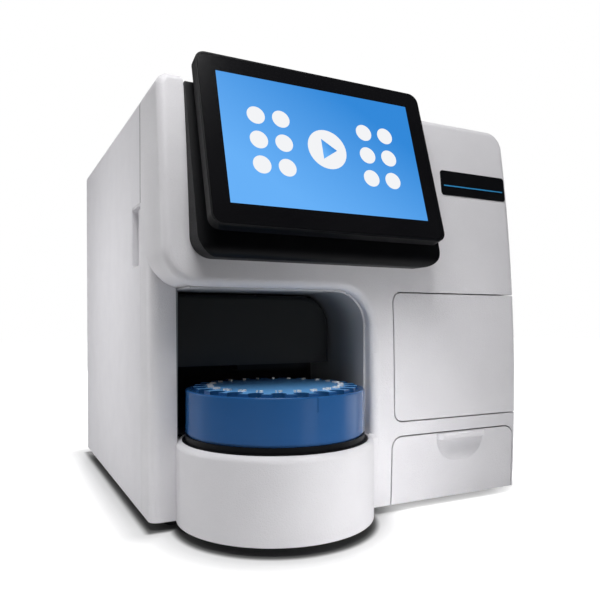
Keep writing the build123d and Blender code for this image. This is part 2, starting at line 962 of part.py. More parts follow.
def monitor_frame():
    frame = screen_slab(bezel_side, bezel_bottom, bezel_side, bezel_corner, 0, frame_depth)
    rim = frame_rim
    frame -= screen_slab(bezel_side - rim, bezel_bottom - rim, bezel_side - rim, bezel_corner - rim,
                         -through, glass_thickness)
    return frame - screen_slab(lcd_border, lcd_border, lcd_border, 0, 0, frame_depth + through)


def monitor_glass():
    rim = frame_rim + running
    return screen_slab(bezel_side - rim, bezel_bottom - rim, bezel_side - rim, bezel_corner - rim,
                       0, glass_thickness)


def lcd_panel():
    border = lcd_border - running
    return screen_slab(border, border, border, 0, glass_thickness, glass_thickness + lcd_thickness)


def wedge_line(z):
    """Y of the wedge's sloping front at a height."""
    low_y = front_face(wedge_bottom) - wedge_reach_low
    high_y = front_face(wedge_top) - wedge_reach_high
    return low_y + (high_y - low_y) * (z - wedge_bottom) / (wedge_top - wedge_bottom)


def wedge_profile():
    """Side view of the wedge, with a rounded lower edge."""
    rear = seam_y - notch_hook
    corner = (wedge_line(wedge_bottom), wedge_bottom)
    outline = make_face(Polyline((rear, wedge_bottom), corner, (wedge_line(wedge_top), wedge_top),
                                 (rear, wedge_top), close=True))
    return round_corner(outline, corner, wedge_edge)


def wedge_mass(inset):
    """The wedge before its back is shaped to the hood."""
    low = wedge_bottom + inset
    left = wedge_left + inset
    right = wedge_right - inset
    front = panel(left, right, low, wedge_top - inset)
    for x in (left, right):
        front = round_corner(front, (x, low), wedge_corner - inset)
    profile = wedge_profile()
    if inset > 0:
        profile = offset(profile, -inset)
    return along_x(profile, wedge_left, wedge_right) & along_y(front, screen_y, seam_y)


def screen_mount():
    return wedge_mass(0) - wedge_mass(skin) - hood_and_column(0)


def monitor_back():
    low = (screen_height - back_height) / 2
    side = bezel_side - back_inset
    outline = panel(-side, screen_width + side, low, low + back_height, back_corner)
    reach = -2 * wedge_line(wedge_bottom)
    back = extrude(screen_plane(frame_depth) * outline, -reach)
    keep = make_face(Polyline((2 * screen_y, wedge_bottom), (wedge_line(wedge_bottom), wedge_bottom),
                              (wedge_line(wedge_top), wedge_top), (2 * screen_y, wedge_top), close=True))
    return back & along_x(keep, 0, body_width)


# Fluidics


def pump_back():
    return bulkhead_y + bulkhead_sheet


def syringe_y():
    return pump_back() + pump_depth + barrel_out


def syringe_pump():
    half = pump_width / 2
    housing = block(pump_x - half, pump_x + half, pump_back(), pump_back() + pump_depth, pump_low, pump_high)
    housing = fillet(housing.edges().filter_by(Axis.Z).group_by(Axis.Y)[-1], skin)
    holder_z = pump_high - valve_height
    holder_rear = syringe_y() + barrel_out + skin
    housing += block(pump_x - half, pump_x + half, pump_back(), holder_rear, holder_z, pump_high)
    return housing - post(pump_x, syringe_y(), barrel_out - 2 * seat, holder_z - through, pump_high + through)


def syringe_motor():
    half = pump_width / 2 - skin
    y = pump_back() + pump_depth / 2
    plan = panel(pump_x - half, pump_x + half, y - half, y + half, skin)
    return along_z(plan, pump_low - syringe_motor_height, pump_low)


def barrel_low():
    return pump_high - valve_height - barrel_length


def syringe_barrel():
    barrel = post(pump_x, syringe_y(), barrel_out, barrel_low(), pump_high - valve_height)
    return barrel - post(pump_x, syringe_y(), barrel_bore,
                         barrel_low() - through, pump_high - valve_height - skin)


def syringe_plunger():
    head_top = barrel_low() + plunger_stroke / 2
    rod_low = barrel_low() - plunger_stroke - 2 * skin
    rod = post(pump_x, syringe_y(), plunger_rod, rod_low, head_top)
    rod += post(pump_x, syringe_y(), barrel_bore - running, head_top - 2 * skin, head_top)
    arm = block(pump_x - barrel_out, pump_x + barrel_out, pump_back() + pump_depth + running,
                syringe_y() + barrel_out, rod_low - 2 * skin, rod_low)
    return rod + arm


def selector_valve():
    valve = post(pump_x, syringe_y(), valve_radius, pump_high, pump_high + valve_height)
    for side in (-1, 1):
        port = Pos(pump_x + side * valve_radius, syringe_y(), pump_high + valve_height / 2) * Rot(0, 90, 0)
        valve += port * Cylinder(plunger_rod, valve_radius)
    return valve


# Optics


def optical_bench():
    return along_z(panel(bench_left, bench_right, pump_back(), bench_rear, skin), bench_low,
                   bench_low + bench_thickness)


def bench_posts():
    y = bench_rear - 2 * bench_post_radius
    places = [(bench_left + 2 * bench_post_radius, y), (bench_right - 2 * bench_post_radius, y)]
    return Part() + [post(x, place_y, bench_post_radius, floor_top, bench_low) for x, place_y in places]


def camera_y():
    return pump_back() + camera_start


def lens_y():
    return camera_y() + camera_length


def cell_y():
    return lens_y() + lens_length + cell_gap


def led_y():
    return cell_y() + cell_thickness + led_gap


def bench_stand(width, y0, y1):
    """A block that stands on the bench up to the optical axis."""
    return block(bench_x - width / 2, bench_x + width / 2, y0, y1, bench_low + bench_thickness, optic_z)


def camera_module():
    half = camera_width / 2
    camera = block(bench_x - half, bench_x + half, camera_y(), lens_y(), optic_z - half, optic_z + half)
    return camera + bench_stand(half, camera_y() + half / 2, lens_y() - half / 2)


def objective_lens():
    step = lens_length / 2
    lens = spindle(bench_x, optic_z, lens_radius, lens_y(), lens_y() + step)
    lens += spindle(bench_x, optic_z, lens_nose_radius, lens_y() + step, lens_y() + lens_length)
    return lens + bench_stand(lens_radius, lens_y() + skin, lens_y() + step - skin)


def flow_cell():
    half = cell_width / 2
    cell = block(bench_x - half, bench_x + half, cell_y(), cell_y() + cell_thickness,
                 bench_low + bench_thickness, optic_z + half)
    return cell - spindle(bench_x, optic_z, cell_window,
                          cell_y() - through, cell_y() + cell_thickness + through)


def led_illuminator():
    led = spindle(bench_x, optic_z, led_radius, led_y(), led_y() + led_length)
    return led + bench_stand(led_radius, led_y() + skin, led_y() + led_length - skin)


# Power and control


def power_supply():
    case = block(supply_left, supply_left + supply_width, supply_front, supply_front + supply_depth,
                 floor_top, floor_top + supply_height)
    slots = Part()
    for row in range(vent_rows):
        y = supply_front + supply_vent_start + row * vent_pitch
        slots += block(supply_left + supply_vent_side, supply_left + supply_width - supply_vent_side, y,
                       y + vent_slot, floor_top + supply_height - sheet, floor_top + supply_height + through)
    return case - slots


def board_low():
    return floor_top + board_lift


def board_rear():
    return panel_y - sheet - port_depth / 4


def controller_board():
    front = board_rear() - board_depth
    top = board_low() + board_thickness
    board = block(board_left, board_left + board_width, front, board_rear(), board_low(), top)
    chip_left = board_left + chip_size
    chip_front = front + 2 * standoff_inset
    board += block(chip_left, chip_left + chip_size, chip_front, chip_front + chip_size,
                   top, top + board_thickness)
    plug = board_left + plug_left
    return board + block(plug, plug + plug_length, chip_front, chip_front + plug_width, top, top + board_lift)


def board_standoffs():
    front = board_rear() - board_depth
    places = [(x, y) for x in (board_left + standoff_inset, board_left + board_width - standoff_inset)
              for y in (front + standoff_inset, board_rear() - standoff_inset)]
    return Part() + [post(x, y, standoff_radius, floor_top, board_low()) for x, y in places]


def port_places():
    """Left edge, bottom, width and height of each socket on the board's rear edge."""
    bottom = board_low() + board_thickness
    first = board_left + port_shift
    return [(first, bottom, usb_width, usb_height),
            (first + port_pitch, bottom, network_width, network_height)]


def port_shell(x, z, width, height):
    """A socket: a thin-walled box that is open to the rear."""
    rear = panel_y + port_proud
    shell = block(x, x + width, rear - port_depth, rear, z, z + height)
    return shell - block(x + port_wall, x + width - port_wall, rear - port_depth + 2 * skin, rear + through,
                         z + port_wall, z + height - port_wall)


def usb_port():
    return port_shell(*port_places()[0])


def network_port():
    return port_shell(*port_places()[1])


# Fan


def fan_front():
    return panel_y - sheet - fan_depth


def fan_frame():
    half = fan_size / 2
    rear = panel_y - sheet
    outline = panel(fan_x - half, fan_x + half, fan_z - half, fan_z + half, fan_strut)
    outline -= Pos(fan_x, fan_z) * Circle(fan_bore)
    frame = along_y(outline, fan_front(), rear)
    bars = panel(fan_x - half, fan_x + half, fan_z - fan_strut / 2, fan_z + fan_strut / 2)
    bars += panel(fan_x - fan_strut / 2, fan_x + fan_strut / 2, fan_z - half, fan_z + half)
    bars += Pos(fan_x, fan_z) * Circle(fan_hub)
    frame += along_y(bars, fan_front(), fan_front() + fan_plate)
    return frame + spindle(fan_x, fan_z, fan_pin, fan_front(), rear - fan_plate)


def fan_rotor():
    front = fan_front() + fan_plate + 2 * running
    rear = panel_y - sheet - 2 * running
    hub = spindle(fan_x, fan_z, fan_hub, front, rear)
    middle = (front + rear) / 2
    span = fan_blade_reach - fan_hub / 2
    blade = Rot(0, 0, fan_blade_pitch) * Box(fan_blade_chord, fan_blade_thickness, span)
    blade = Pos(0, 0, fan_hub / 2 + span / 2) * blade
    for index in range(fan_blades):
        hub += Pos(fan_x, middle, fan_z) * Rot(0, index * 360 / fan_blades, 0) * blade
    return hub - spindle(fan_x, fan_z, fan_pin + running, front - through, rear - fan_plate + 2 * running)


def fan_guard():
    outline = Sketch()
    for ring in range(guard_rings):
        radius = fan_bore * (ring + 1) / guard_rings
        outline += Pos(fan_x, fan_z) * (Circle(radius + guard_wire / 2) - Circle(radius - guard_wire / 2))
    bar = Rectangle(2 * (fan_bore + guard_tab), 2 * guard_wire)
    for side in (-1, 1):
        outline += Pos(fan_x, fan_z) * Rot(0, 0, side * guard_angle) * bar
    return along_y(outline, panel_y, panel_y + guard_thickness)


# Power inlet


def inlet_cutout(grow):
    """Front view of the inlet's body."""
    half = inlet_width / 2
    return panel(inlet_x - half - grow, inlet_x + half + grow,
                 inlet_low - grow, inlet_low + inlet_height + grow)


def socket_z():
    return inlet_low + socket_rise


def rocker_z():
    return inlet_low + rocker_rise


def power_inlet():
    half = inlet_width / 2
    rear = panel_y + inlet_flange_depth
    inlet = along_y(inlet_cutout(0), panel_y - inlet_depth, rear)
    inlet += along_y(panel(inlet_x - half - inlet_flange, inlet_x + half + inlet_flange,
                           inlet_low - inlet_flange, inlet_low + inlet_height + inlet_flange, skin),
                     panel_y, rear)
    half_width = socket_width / 2
    half_height = socket_height / 2
    mouth = panel(inlet_x - half_width, inlet_x + half_width,
                  socket_z() - half_height, socket_z() + half_height)
    inlet -= along_y(mouth, rear - socket_depth, rear + through)
    for index in (-1, 0, 1):
        x = inlet_x + index * socket_pin_pitch
        z = socket_z() + (1 - abs(index)) * socket_pin_height / 2
        inlet += block(x - socket_pin_width / 2, x + socket_pin_width / 2, rear - socket_depth, rear - skin,
                       z - socket_pin_height / 2, z + socket_pin_height / 2)
    well_width = rocker_width / 2 + running
    well_height = rocker_height / 2 + skin / 2
    well = panel(inlet_x - well_width, inlet_x + well_width,
                 rocker_z() - well_height, rocker_z() + well_height)
    return inlet - along_y(well, rear - rocker_depth - 2 * skin, rear + through)


def rocker_pivot():
    return panel_y + inlet_flange_depth - rocker_depth / 2


def power_rocker():
    half = rocker_height / 2
    reach = rocker_reach
    outline = make_face(Polyline((-reach, 0), (-skin, -half), (reach, -half), (rocker_dip, 0), (reach, half),
                                 (-skin, half), close=True))
    rocker = along_x(outline, inlet_x - rocker_width / 2, inlet_x + rocker_width / 2)
    return Pos(0, rocker_pivot(), rocker_z()) * Rot(rocker_angle, 0, 0) * rocker


pieces = {
    "front_fascia": front_fascia(),
    "wrap_cover": wrap_cover(),
    "rear_panel": rear_panel(),
    "base_plate": base_plate(),
    "mid_bulkhead": mid_bulkhead(),
    "side_pull": side_pull(),
    "feet": feet(),
    "rear_screws": rear_screws(),
    "screen_mount": screen_mount(),
    "monitor_back": monitor_back(),
    "monitor_frame": monitor_frame(),
    "monitor_glass": monitor_glass(),
    "lcd_panel": lcd_panel(),
    "niche_liner": niche_liner(),
    "probe_shroud": probe_shroud(),
    "probe_guide": probe_guide(),
    "probe_rail": probe_rail(),
    "probe_rods": probe_rods(),
    "actuator_rod": actuator_rod(),
    "probe_motor": probe_motor(),
    "probe_carriage": probe_carriage(),
    "sample_probe": sample_probe(),
    "carousel": carousel(),
    "turntable": turntable(),
    "turntable_bearing": turntable_bearing(),
    "carousel_shaft": carousel_shaft(),
    "carousel_motor": carousel_motor(),
    "reagent_door": reagent_door(),
    "door_hinge_pins": door_hinge_pins(),
    "door_strike": door_strike(),
    "door_magnet": door_magnet(),
    "reagent_bay": reagent_bay(),
    "reagent_pack": reagent_pack(),
    "drawer_front": drawer_front(),
    "drawer_tray": drawer_tray(),
    "drawer_rails": drawer_rails(),
    "syringe_pump": syringe_pump(),
    "syringe_motor": syringe_motor(),
    "syringe_barrel": syringe_barrel(),
    "syringe_plunger": syringe_plunger(),
    "selector_valve": selector_valve(),
    "optical_bench": optical_bench(),
    "bench_posts": bench_posts(),
    "camera_module": camera_module(),
    "objective_lens": objective_lens(),
    "flow_cell": flow_cell(),
    "led_illuminator": led_illuminator(),
    "power_supply": power_supply(),
    "controller_board": controller_board(),
    "board_standoffs": board_standoffs(),
    "usb_port": usb_port(),
    "network_port": network_port(),
    "fan_frame": fan_frame(),
    "fan_rotor": fan_rotor(),
    "fan_guard": fan_guard(),
    "power_inlet": power_inlet(),
    "power_rocker": power_rocker(),
}

# The origin lies at the bottom centre of the whole
to_centre = Pos(-body_width / 2, -(front_limit + rear_y) / 2, 0)
os.makedirs("parts", exist_ok=True)
for name, piece in pieces.items():
    export_step(to_centre * piece, f"parts/{name}.step")
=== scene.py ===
import json
from math import cos, pi, radians, sin, sqrt

import bmesh
import bpy
from mathutils import Matrix, Vector


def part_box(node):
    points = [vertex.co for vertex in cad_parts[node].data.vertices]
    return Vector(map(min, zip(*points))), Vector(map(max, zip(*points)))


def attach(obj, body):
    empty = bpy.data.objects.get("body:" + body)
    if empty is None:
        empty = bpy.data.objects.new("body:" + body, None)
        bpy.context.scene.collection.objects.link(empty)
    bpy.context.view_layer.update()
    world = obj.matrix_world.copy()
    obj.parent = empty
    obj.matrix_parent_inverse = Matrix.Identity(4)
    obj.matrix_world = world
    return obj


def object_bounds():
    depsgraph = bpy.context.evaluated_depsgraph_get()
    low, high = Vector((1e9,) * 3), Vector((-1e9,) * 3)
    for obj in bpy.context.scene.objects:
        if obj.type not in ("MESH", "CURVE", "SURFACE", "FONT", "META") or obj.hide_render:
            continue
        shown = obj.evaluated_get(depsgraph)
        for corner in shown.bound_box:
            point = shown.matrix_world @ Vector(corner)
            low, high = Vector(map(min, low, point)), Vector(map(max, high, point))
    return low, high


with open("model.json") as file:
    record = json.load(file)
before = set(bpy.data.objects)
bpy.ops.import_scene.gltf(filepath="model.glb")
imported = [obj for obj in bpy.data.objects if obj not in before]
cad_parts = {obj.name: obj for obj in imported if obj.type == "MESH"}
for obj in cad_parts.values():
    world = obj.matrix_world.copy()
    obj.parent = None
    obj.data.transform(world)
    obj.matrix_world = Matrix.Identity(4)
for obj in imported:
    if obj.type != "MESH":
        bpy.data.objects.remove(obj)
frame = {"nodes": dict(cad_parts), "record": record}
cad_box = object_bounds()
nodes = frame["nodes"]
scene = bpy.context.scene

# Camera: metres and degrees, lens and sensor in millimetres, rise as a share of the picture
camera_place = Vector((-0.3555, -0.74665, 0.2062))
camera_yaw = 26.98
camera_pitch = 0.745
camera_lens = 36.81
camera_sensor = 36.0
camera_rise = 0.0503

# Touch screen, metres
screen_tilt = radians(17.0)
glass_thickness = 0.0025
picture_width = 0.21696
picture_height = 0.1356
picture_lift = 0.0197
print_proud = 0.00008

# Lit picture: its colours, the direction they run in and the stretch over which they change
picture_glow = 0.95
picture_blue_left = (0.135, 0.450, 0.97)
picture_blue_right = (0.024, 0.250, 0.72)
picture_white = (0.93, 0.94, 0.96)
picture_base = (0.01, 0.01, 0.012)
picture_roughness = 0.15
picture_slope = (0.5, 0, 0.5)
picture_stretch = (0.2, 0.8)

# Round keys of the start page, metres
main_key = 0.0215
side_key = 0.0092
key_pitch = 0.026
key_start = 0.047
key_columns = 2
key_rows = (-1, 0, 1)
triangle = 0.011

# Straight pieces in a quarter turn of a corner and in a whole disc
corner_steps = 6
disc_steps = 40

# Bare name plate on the crowned face, metres
plate_left = 0.110
plate_right = 0.208
plate_low = 0.353
plate_high = 0.382
plate_thickness = 0.0008
plate_corner = 0.0035
plate_sink = 0.0001
stripe_rise = 0.0105
stripe_height = 0.0014
stripe_corner = stripe_height / 3
stripe_inset = 0.004
crown_front = -0.2052
crown_height = 0.115
crown_radius = 1.967

# Raised numbers on the carousel, metres
number_count = 24
number_circle = 0.068
number_height = 0.0085
number_rise = 0.0018
number_steps = 2
first_pocket = radians(7.5)

# Faces with a finish of their own, among them the carousel's top in a painted lighter blue: how straight
# they look up or forward, and their reach from the top
straight = 0.9
top_reach = 0.0005

# Painted shadow of the open seam: a dark band on the cover's edge along it, its width in metres and its grey
seam_shade = 0.0018
painted_seam_shadow_grey = (0.06, 0.06, 0.065)

# Niche lining in painted shade: its grey at the mouth and inside, and how far in it darkens in metres
painted_shade_liner_mouth = (0.46, 0.465, 0.48)
painted_shade_liner_deep = (0.17, 0.175, 0.185)
painted_shade_liner_depth = 0.055

# Noise of the finishes: the range that is used, and how much coarser the colour is than the grain
noise_range = (0.3, 0.7)
broad_ratio = 40
broad_detail = 3.0
fine_detail = 2.0

# Finishes: two near colours, the range of roughness, the grain per metre and its depth in metres
finish_values = {
    "white_plastic": dict(
        low=(0.715, 0.705, 0.730), high=(0.745, 0.735, 0.760), gloss=(0.42, 0.52), grain=900, depth=0.0004),
    "painted_cover": dict(
        low=(0.715, 0.705, 0.735), high=(0.745, 0.735, 0.765), gloss=(0.45, 0.55), grain=1300, depth=0.0001),
    "black_plastic": dict(
        low=(0.003, 0.0032, 0.004), high=(0.0045, 0.0048, 0.006), gloss=(0.40, 0.50), grain=1400,
        depth=0.0001, specular=0.14),
    "shroud_black": dict(
        low=(0.0085, 0.0095, 0.0105), high=(0.0105, 0.0115, 0.0125), gloss=(0.32, 0.40), grain=1200,
        depth=0.00005, specular=0.4),
    "gloss_black": dict(
        low=(0.004, 0.0045, 0.005), high=(0.006, 0.0065, 0.007), gloss=(0.28, 0.36), grain=600,
        depth=0.00001, specular=0.25),
    # The lining's own grey is the deep end of its painted shade
    "liner_grey": dict(
        low=painted_shade_liner_deep, high=painted_shade_liner_deep, gloss=(0.40, 0.48), grain=900, depth=0.00005, specular=0.3),
    "screen_glass": dict(
        low=(0.004, 0.004, 0.005), high=(0.006, 0.006, 0.007), gloss=(0.16, 0.20), grain=500,
        depth=0.000005, specular=0.25),
    "blue_plastic": dict(
        low=(0.016, 0.085, 0.250), high=(0.020, 0.095, 0.270), gloss=(0.18, 0.24), grain=500,
        depth=0.00001, specular=0.25),
    # Painted light: a lighter blue for the carousel's top, standing in for the light that falls on it
    "blue_top_painted_light": dict(
        low=(0.11, 0.34, 0.69), high=(0.125, 0.36, 0.72), gloss=(0.40, 0.50), grain=500,
        depth=0.00001, specular=0.3),
    "dark_rubber": dict(
        low=(0.015, 0.015, 0.016), high=(0.022, 0.022, 0.023), gloss=(0.7, 0.85), grain=1500, depth=0.0001),
    "steel": dict(
        low=(0.50, 0.50, 0.51), high=(0.58, 0.58, 0.59), gloss=(0.25, 0.40), grain=900, depth=0.00002,
        stretch=(1, 1, 12), metal=1.0),
    "zinc_sheet": dict(
        low=(0.48, 0.49, 0.51), high=(0.56, 0.57, 0.58), gloss=(0.35, 0.5), grain=300, depth=0.00002,
        metal=1.0),
    "aluminium": dict(
        low=(0.62, 0.62, 0.64), high=(0.70, 0.70, 0.72), gloss=(0.3, 0.45), grain=1200, depth=0.00002,
        stretch=(8, 1, 1), metal=1.0),
    "grey_plastic": dict(
        low=(0.19, 0.19, 0.20), high=(0.23, 0.23, 0.24), gloss=(0.45, 0.55), grain=1000, depth=0.00006),
    "clear_glass": dict(
        low=(0.70, 0.75, 0.78), high=(0.74, 0.79, 0.82), gloss=(0.05, 0.1), grain=400, depth=0.000005),
    "board_green": dict(
        low=(0.012, 0.12, 0.05), high=(0.02, 0.18, 0.08), gloss=(0.35, 0.5), grain=700, depth=0.00005,
        stretch=(6, 1, 1)),
    "pack_white": dict(
        low=(0.66, 0.68, 0.70), high=(0.72, 0.74, 0.76), gloss=(0.4, 0.5), grain=500, depth=0.00005),
    "stripe_blue": dict(
        low=(0.03, 0.26, 0.55), high=(0.035, 0.28, 0.58), gloss=(0.35, 0.45), grain=900, depth=0.00001),
    "number_white": dict(
        low=(0.78, 0.78, 0.79), high=(0.82, 0.82, 0.83), gloss=(0.4, 0.5), grain=900, depth=0.00001),
}

# Floor, metres: the footprint, with a painted contact shadow at its edge and a painted soft halo of shade
# round it, and the way out to plain white
floor_size = 12
foot_front = -0.148
drum_middle = (-0.0902, -0.1695, 0.0)
drum_radius = 0.1015
painted_halo_reach = 0.09
painted_contact_shadow_reach = 0.008
floor_glow = 1.05
floor_grey = 0.88
painted_contact_shadow_grey = 0.15
floor_roughness = 0.6

# White for the eye, and the weak light from all round
white = (1, 1, 1, 1)
sky_colour = (0.95, 0.95, 1.0, 1)
sky_strength = 0.03

# Soft boxes: place, aim and size in metres, power in watts, and the beam's spread in degrees
full_spread = 180
soft_boxes = {
    "top_box": dict(
        place=(-0.28, -0.52, 1.05), aim=(-0.1, -0.15, 0.3), size=(0.55, 0.4), power=7.8),
    "left_box": dict(
        place=(-1.3, 0.9, 0.7), aim=(-0.2, 0, 0.2), size=(0.8, 0.8), power=4.9),
    "left_front_pool": dict(
        place=(-0.62, 0.03, 0.26), aim=(-0.2, 0.03, 0.255), size=(0.25, 0.2), power=0.18, spread=80),
    "left_rear_pool": dict(
        place=(-0.7, 0.25, 0.22), aim=(-0.215, 0.2, 0.2), size=(0.2, 0.3), power=0.12, spread=80),
    "front_pool": dict(
        place=(0.03, -0.68, 0.16), aim=(0.05, -0.2, 0.12), size=(0.2, 0.2), power=0.041, spread=70),
    "door_pool": dict(
        place=(-0.12, -0.75, 0.2), aim=(0.05, -0.2, 0.17), size=(0.15, 0.15), power=0.046, spread=40),
    "drum_pool": dict(
        place=(0.08, -0.68, 0.06), aim=(-0.02, -0.25, 0.03), size=(0.2, 0.08), power=0.085, spread=45),
    "pillar_pool": dict(
        place=(-0.6, -0.6, 0.05), aim=(-0.205, -0.12, 0.04), size=(0.12, 0.12), power=0.017, spread=30),
    "hood_pool": dict(
        place=(0.35, -0.7, 0.9), aim=(0.14, -0.15, 0.37), size=(0.3, 0.3), power=0.114, spread=60),
    "right_low_box": dict(
        place=(0.5, -0.27, 0.06), aim=(-0.05, -0.24, 0.06), size=(0.3, 0.12), power=0.14),
    "right_box": dict(
        place=(1.6, 0.5, 0.6), aim=(0.2, 0.1, 0.2), size=(0.9, 0.9), power=13),
    "rear_box": dict(
        place=(0.2, 1.8, 0.7), aim=(0, 0.2, 0.2), size=(0.9, 0.9), power=11),
}


def shader(name):
    """A new material, its node tree and its Principled shader."""
    material = bpy.data.materials.new(name)
    material.use_nodes = True
    tree = material.node_tree
    return material, tree, tree.nodes["Principled BSDF"]


def object_place(tree):
    """The place on an object in its own coordinates."""
    return tree.nodes.new("ShaderNodeTexCoord").outputs["Object"]


def along(tree, axis):
    """One coordinate of the place on an object."""
    parts = tree.nodes.new("ShaderNodeSeparateXYZ")
    tree.links.new(object_place(tree), parts.inputs["Vector"])
    return parts.outputs[axis]


def math_step(tree, kind, first, second):
    """One sum on a socket, with another socket or a fixed value as the second operand."""
    step = tree.nodes.new("ShaderNodeMath")
    step.operation = kind
    tree.links.new(first, step.inputs[0])
    if isinstance(second, bpy.types.NodeSocket):
        tree.links.new(second, step.inputs[1])
    else:
        step.inputs[1].default_value = second
    return step.outputs["Value"]


def vector_step(tree, kind, first, second=None):
    """One vector operation on a socket, with a fixed vector as the second operand where it needs one."""
    step = tree.nodes.new("ShaderNodeVectorMath")
    step.operation = kind
    tree.links.new(first, step.inputs[0])
    if second is not None:
        step.inputs[1].default_value = second
    return step.outputs["Value" if kind in ("LENGTH", "DOT_PRODUCT") else "Vector"]


def map_range(tree, value, before, after, kind="LINEAR"):
    """Carry a value from one range into another."""
    step = tree.nodes.new("ShaderNodeMapRange")
    step.interpolation_type = kind
    step.inputs["From Min"].default_value = before[0]
    step.inputs["From Max"].default_value = before[1]
    step.inputs["To Min"].default_value = after[0]
    step.inputs["To Max"].default_value = after[1]
    tree.links.new(value, step.inputs["Value"])
    return step.outputs["Result"]


def colour_ramp(tree, factor, low, high, stretch=(0, 1), kind="LINEAR"):
    """A colour between two others, changing over a stretch of the factor."""
    ramp = tree.nodes.new("ShaderNodeValToRGB")
    ramp.color_ramp.interpolation = kind
    for stop, position, colour in zip(ramp.color_ramp.elements, stretch, (low, high)):
        stop.position = position
        stop.color = (*colour, 1)
    tree.links.new(factor, ramp.inputs["Fac"])
    return ramp.outputs["Color"]


def noise(tree, scale, detail, stretch=(1, 1, 1)):
    """A noise texture in the object's own coordinates."""
    mapping = tree.nodes.new("ShaderNodeMapping")
    mapping.inputs["Scale"].default_value = stretch
    texture = tree.nodes.new("ShaderNodeTexNoise")
    texture.inputs["Scale"].default_value = scale
    texture.inputs["Detail"].default_value = detail
    tree.links.new(object_place(tree), mapping.inputs["Vector"])
    tree.links.new(mapping.outputs["Vector"], texture.inputs["Vector"])
    return texture.outputs["Fac"]


def add_bump(tree, bsdf, factor, depth):
    """Raise the surface by a texture, depth in metres."""
    bump = tree.nodes.new("ShaderNodeBump")
    bump.inputs["Strength"].default_value = 1.0
    bump.inputs["Distance"].default_value = depth
    tree.links.new(factor, bump.inputs["Height"])
    tree.links.new(bump.outputs["Normal"], bsdf.inputs["Normal"])


def surface(name, low, high, gloss, grain, depth, stretch=(1, 1, 1), metal=0.0, specular=0.5):
    """One finish: two near colours, a roughness range, and a grain of its own scale and depth."""
    material, tree, bsdf = shader(name)
    bsdf.inputs["Metallic"].default_value = metal
    bsdf.inputs["Specular IOR Level"].default_value = specular
    broad = noise(tree, grain / broad_ratio, broad_detail)
    fine = noise(tree, grain, fine_detail, stretch)
    tree.links.new(colour_ramp(tree, broad, low, high, noise_range), bsdf.inputs["Base Color"])
    tree.links.new(map_range(tree, fine, noise_range, gloss), bsdf.inputs["Roughness"])
    add_bump(tree, bsdf, fine, depth)
    return material


def shade_liner(material):
    """Paint shade on the lining: light grey at the mouth to dark grey inside."""
    tree = material.node_tree
    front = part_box("niche_liner")[0].y
    inward = map_range(tree, along(tree, "Y"), (front, front + painted_shade_liner_depth), (0, 1))
    grey = colour_ramp(tree, inward, painted_shade_liner_mouth, painted_shade_liner_deep, kind="EASE")
    tree.links.new(grey, tree.nodes["Principled BSDF"].inputs["Base Color"])


def shade_seam(material):
    """Paint the seam's shadow as a dark band on the cover's edge along the seam, above the height of the
    side pull.
    """
    tree = material.node_tree
    target = tree.nodes["Principled BSDF"].inputs["Base Color"]
    paint = target.links[0].from_socket
    near = math_step(tree, "LESS_THAN", along(tree, "Y"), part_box("wrap_cover")[0].y + seam_shade)
    above = math_step(tree, "GREATER_THAN", along(tree, "Z"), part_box("side_pull")[1].z)
    mix = tree.nodes.new("ShaderNodeMixRGB")
    mix.inputs["Color2"].default_value = (*painted_seam_shadow_grey, 1)
    tree.links.new(math_step(tree, "MULTIPLY", near, above), mix.inputs["Fac"])
    tree.links.new(paint, mix.inputs["Color1"])
    tree.links.new(mix.outputs["Color"], target)


def finishes():
    """Every finish by its name, with the painted shade of the lining and the painted seam shadow on the
    cover's edge.
    """
    looks = {name: surface(name, **values) for name, values in finish_values.items()}
    shade_liner(looks["liner_grey"])
    shade_seam(looks["painted_cover"])
    return looks


def glowing(name, low, high):
    """A lit picture colour that runs from one corner of the screen to the other."""
    material, tree, bsdf = shader(name)
    place = tree.nodes.new("ShaderNodeTexCoord")
    slope = vector_step(tree, "DOT_PRODUCT", place.outputs["Generated"], picture_slope)
    tree.links.new(colour_ramp(tree, slope, low, high, picture_stretch), bsdf.inputs["Emission Color"])
    bsdf.inputs["Emission Strength"].default_value = picture_glow
    bsdf.inputs["Base Color"].default_value = (*picture_base, 1)
    bsdf.inputs["Roughness"].default_value = picture_roughness
    return material


def second_finish(name, finish, chosen):
    """Another finish on the faces of a node that a test picks."""
    mesh = nodes[name].data
    mesh.materials.append(finish)
    for face in mesh.polygons:
        if chosen(face):
            face.material_index = len(mesh.materials) - 1


def dress_nodes(looks):
    """Give each CAD node its finish, and some of its faces another one."""
    for part in frame["record"]["subparts"]:
        mesh = nodes[part["node"]].data
        mesh.materials.clear()
        mesh.materials.append(looks[part["material_slot"]])
    nodes["probe_shroud"].data.materials[0] = looks["shroud_black"]
    carousel_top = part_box("carousel")[1].z
    # Painted light: the carousel's top faces take a lighter blue
    second_finish("carousel", looks["blue_top_painted_light"],
                  lambda face: face.normal.z > straight and face.center.z > carousel_top - top_reach)
    liner_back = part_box("niche_liner")[0].y + painted_shade_liner_depth
    second_finish("niche_liner", looks["black_plastic"],
                  lambda face: face.normal.y < -straight and face.center.y > liner_back)


def piece(name, mesh, material, body):
    """Put a mesh into the scene as a piece that rides on a body."""
    obj = bpy.data.objects.new(name, mesh)
    mesh.materials.append(material)
    scene.collection.objects.link(obj)
    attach(obj, body)


def rounded_outline(width, height, corner):
    """Points of a rounded rectangle whose lower left corner is the origin."""
    centres = [(width - corner, corner, -90), (width - corner, height - corner, 0),
               (corner, height - corner, 90), (corner, corner, 180)]
    points = []
    for x, y, start in centres:
        for step in range(corner_steps + 1):
            angle = radians(start + 90 * step / corner_steps)
            points.append((x + corner * cos(angle), y + corner * sin(angle)))
    return points


def disc(radius, x, y):
    """Points of a circle."""
    angles = [2 * pi * step / disc_steps for step in range(disc_steps)]
    return [(x + radius * cos(angle), y + radius * sin(angle)) for angle in angles]


def shifted(outline, x, y):
    """The same outline at another place."""
    return [(px + x, py + y) for px, py in outline]


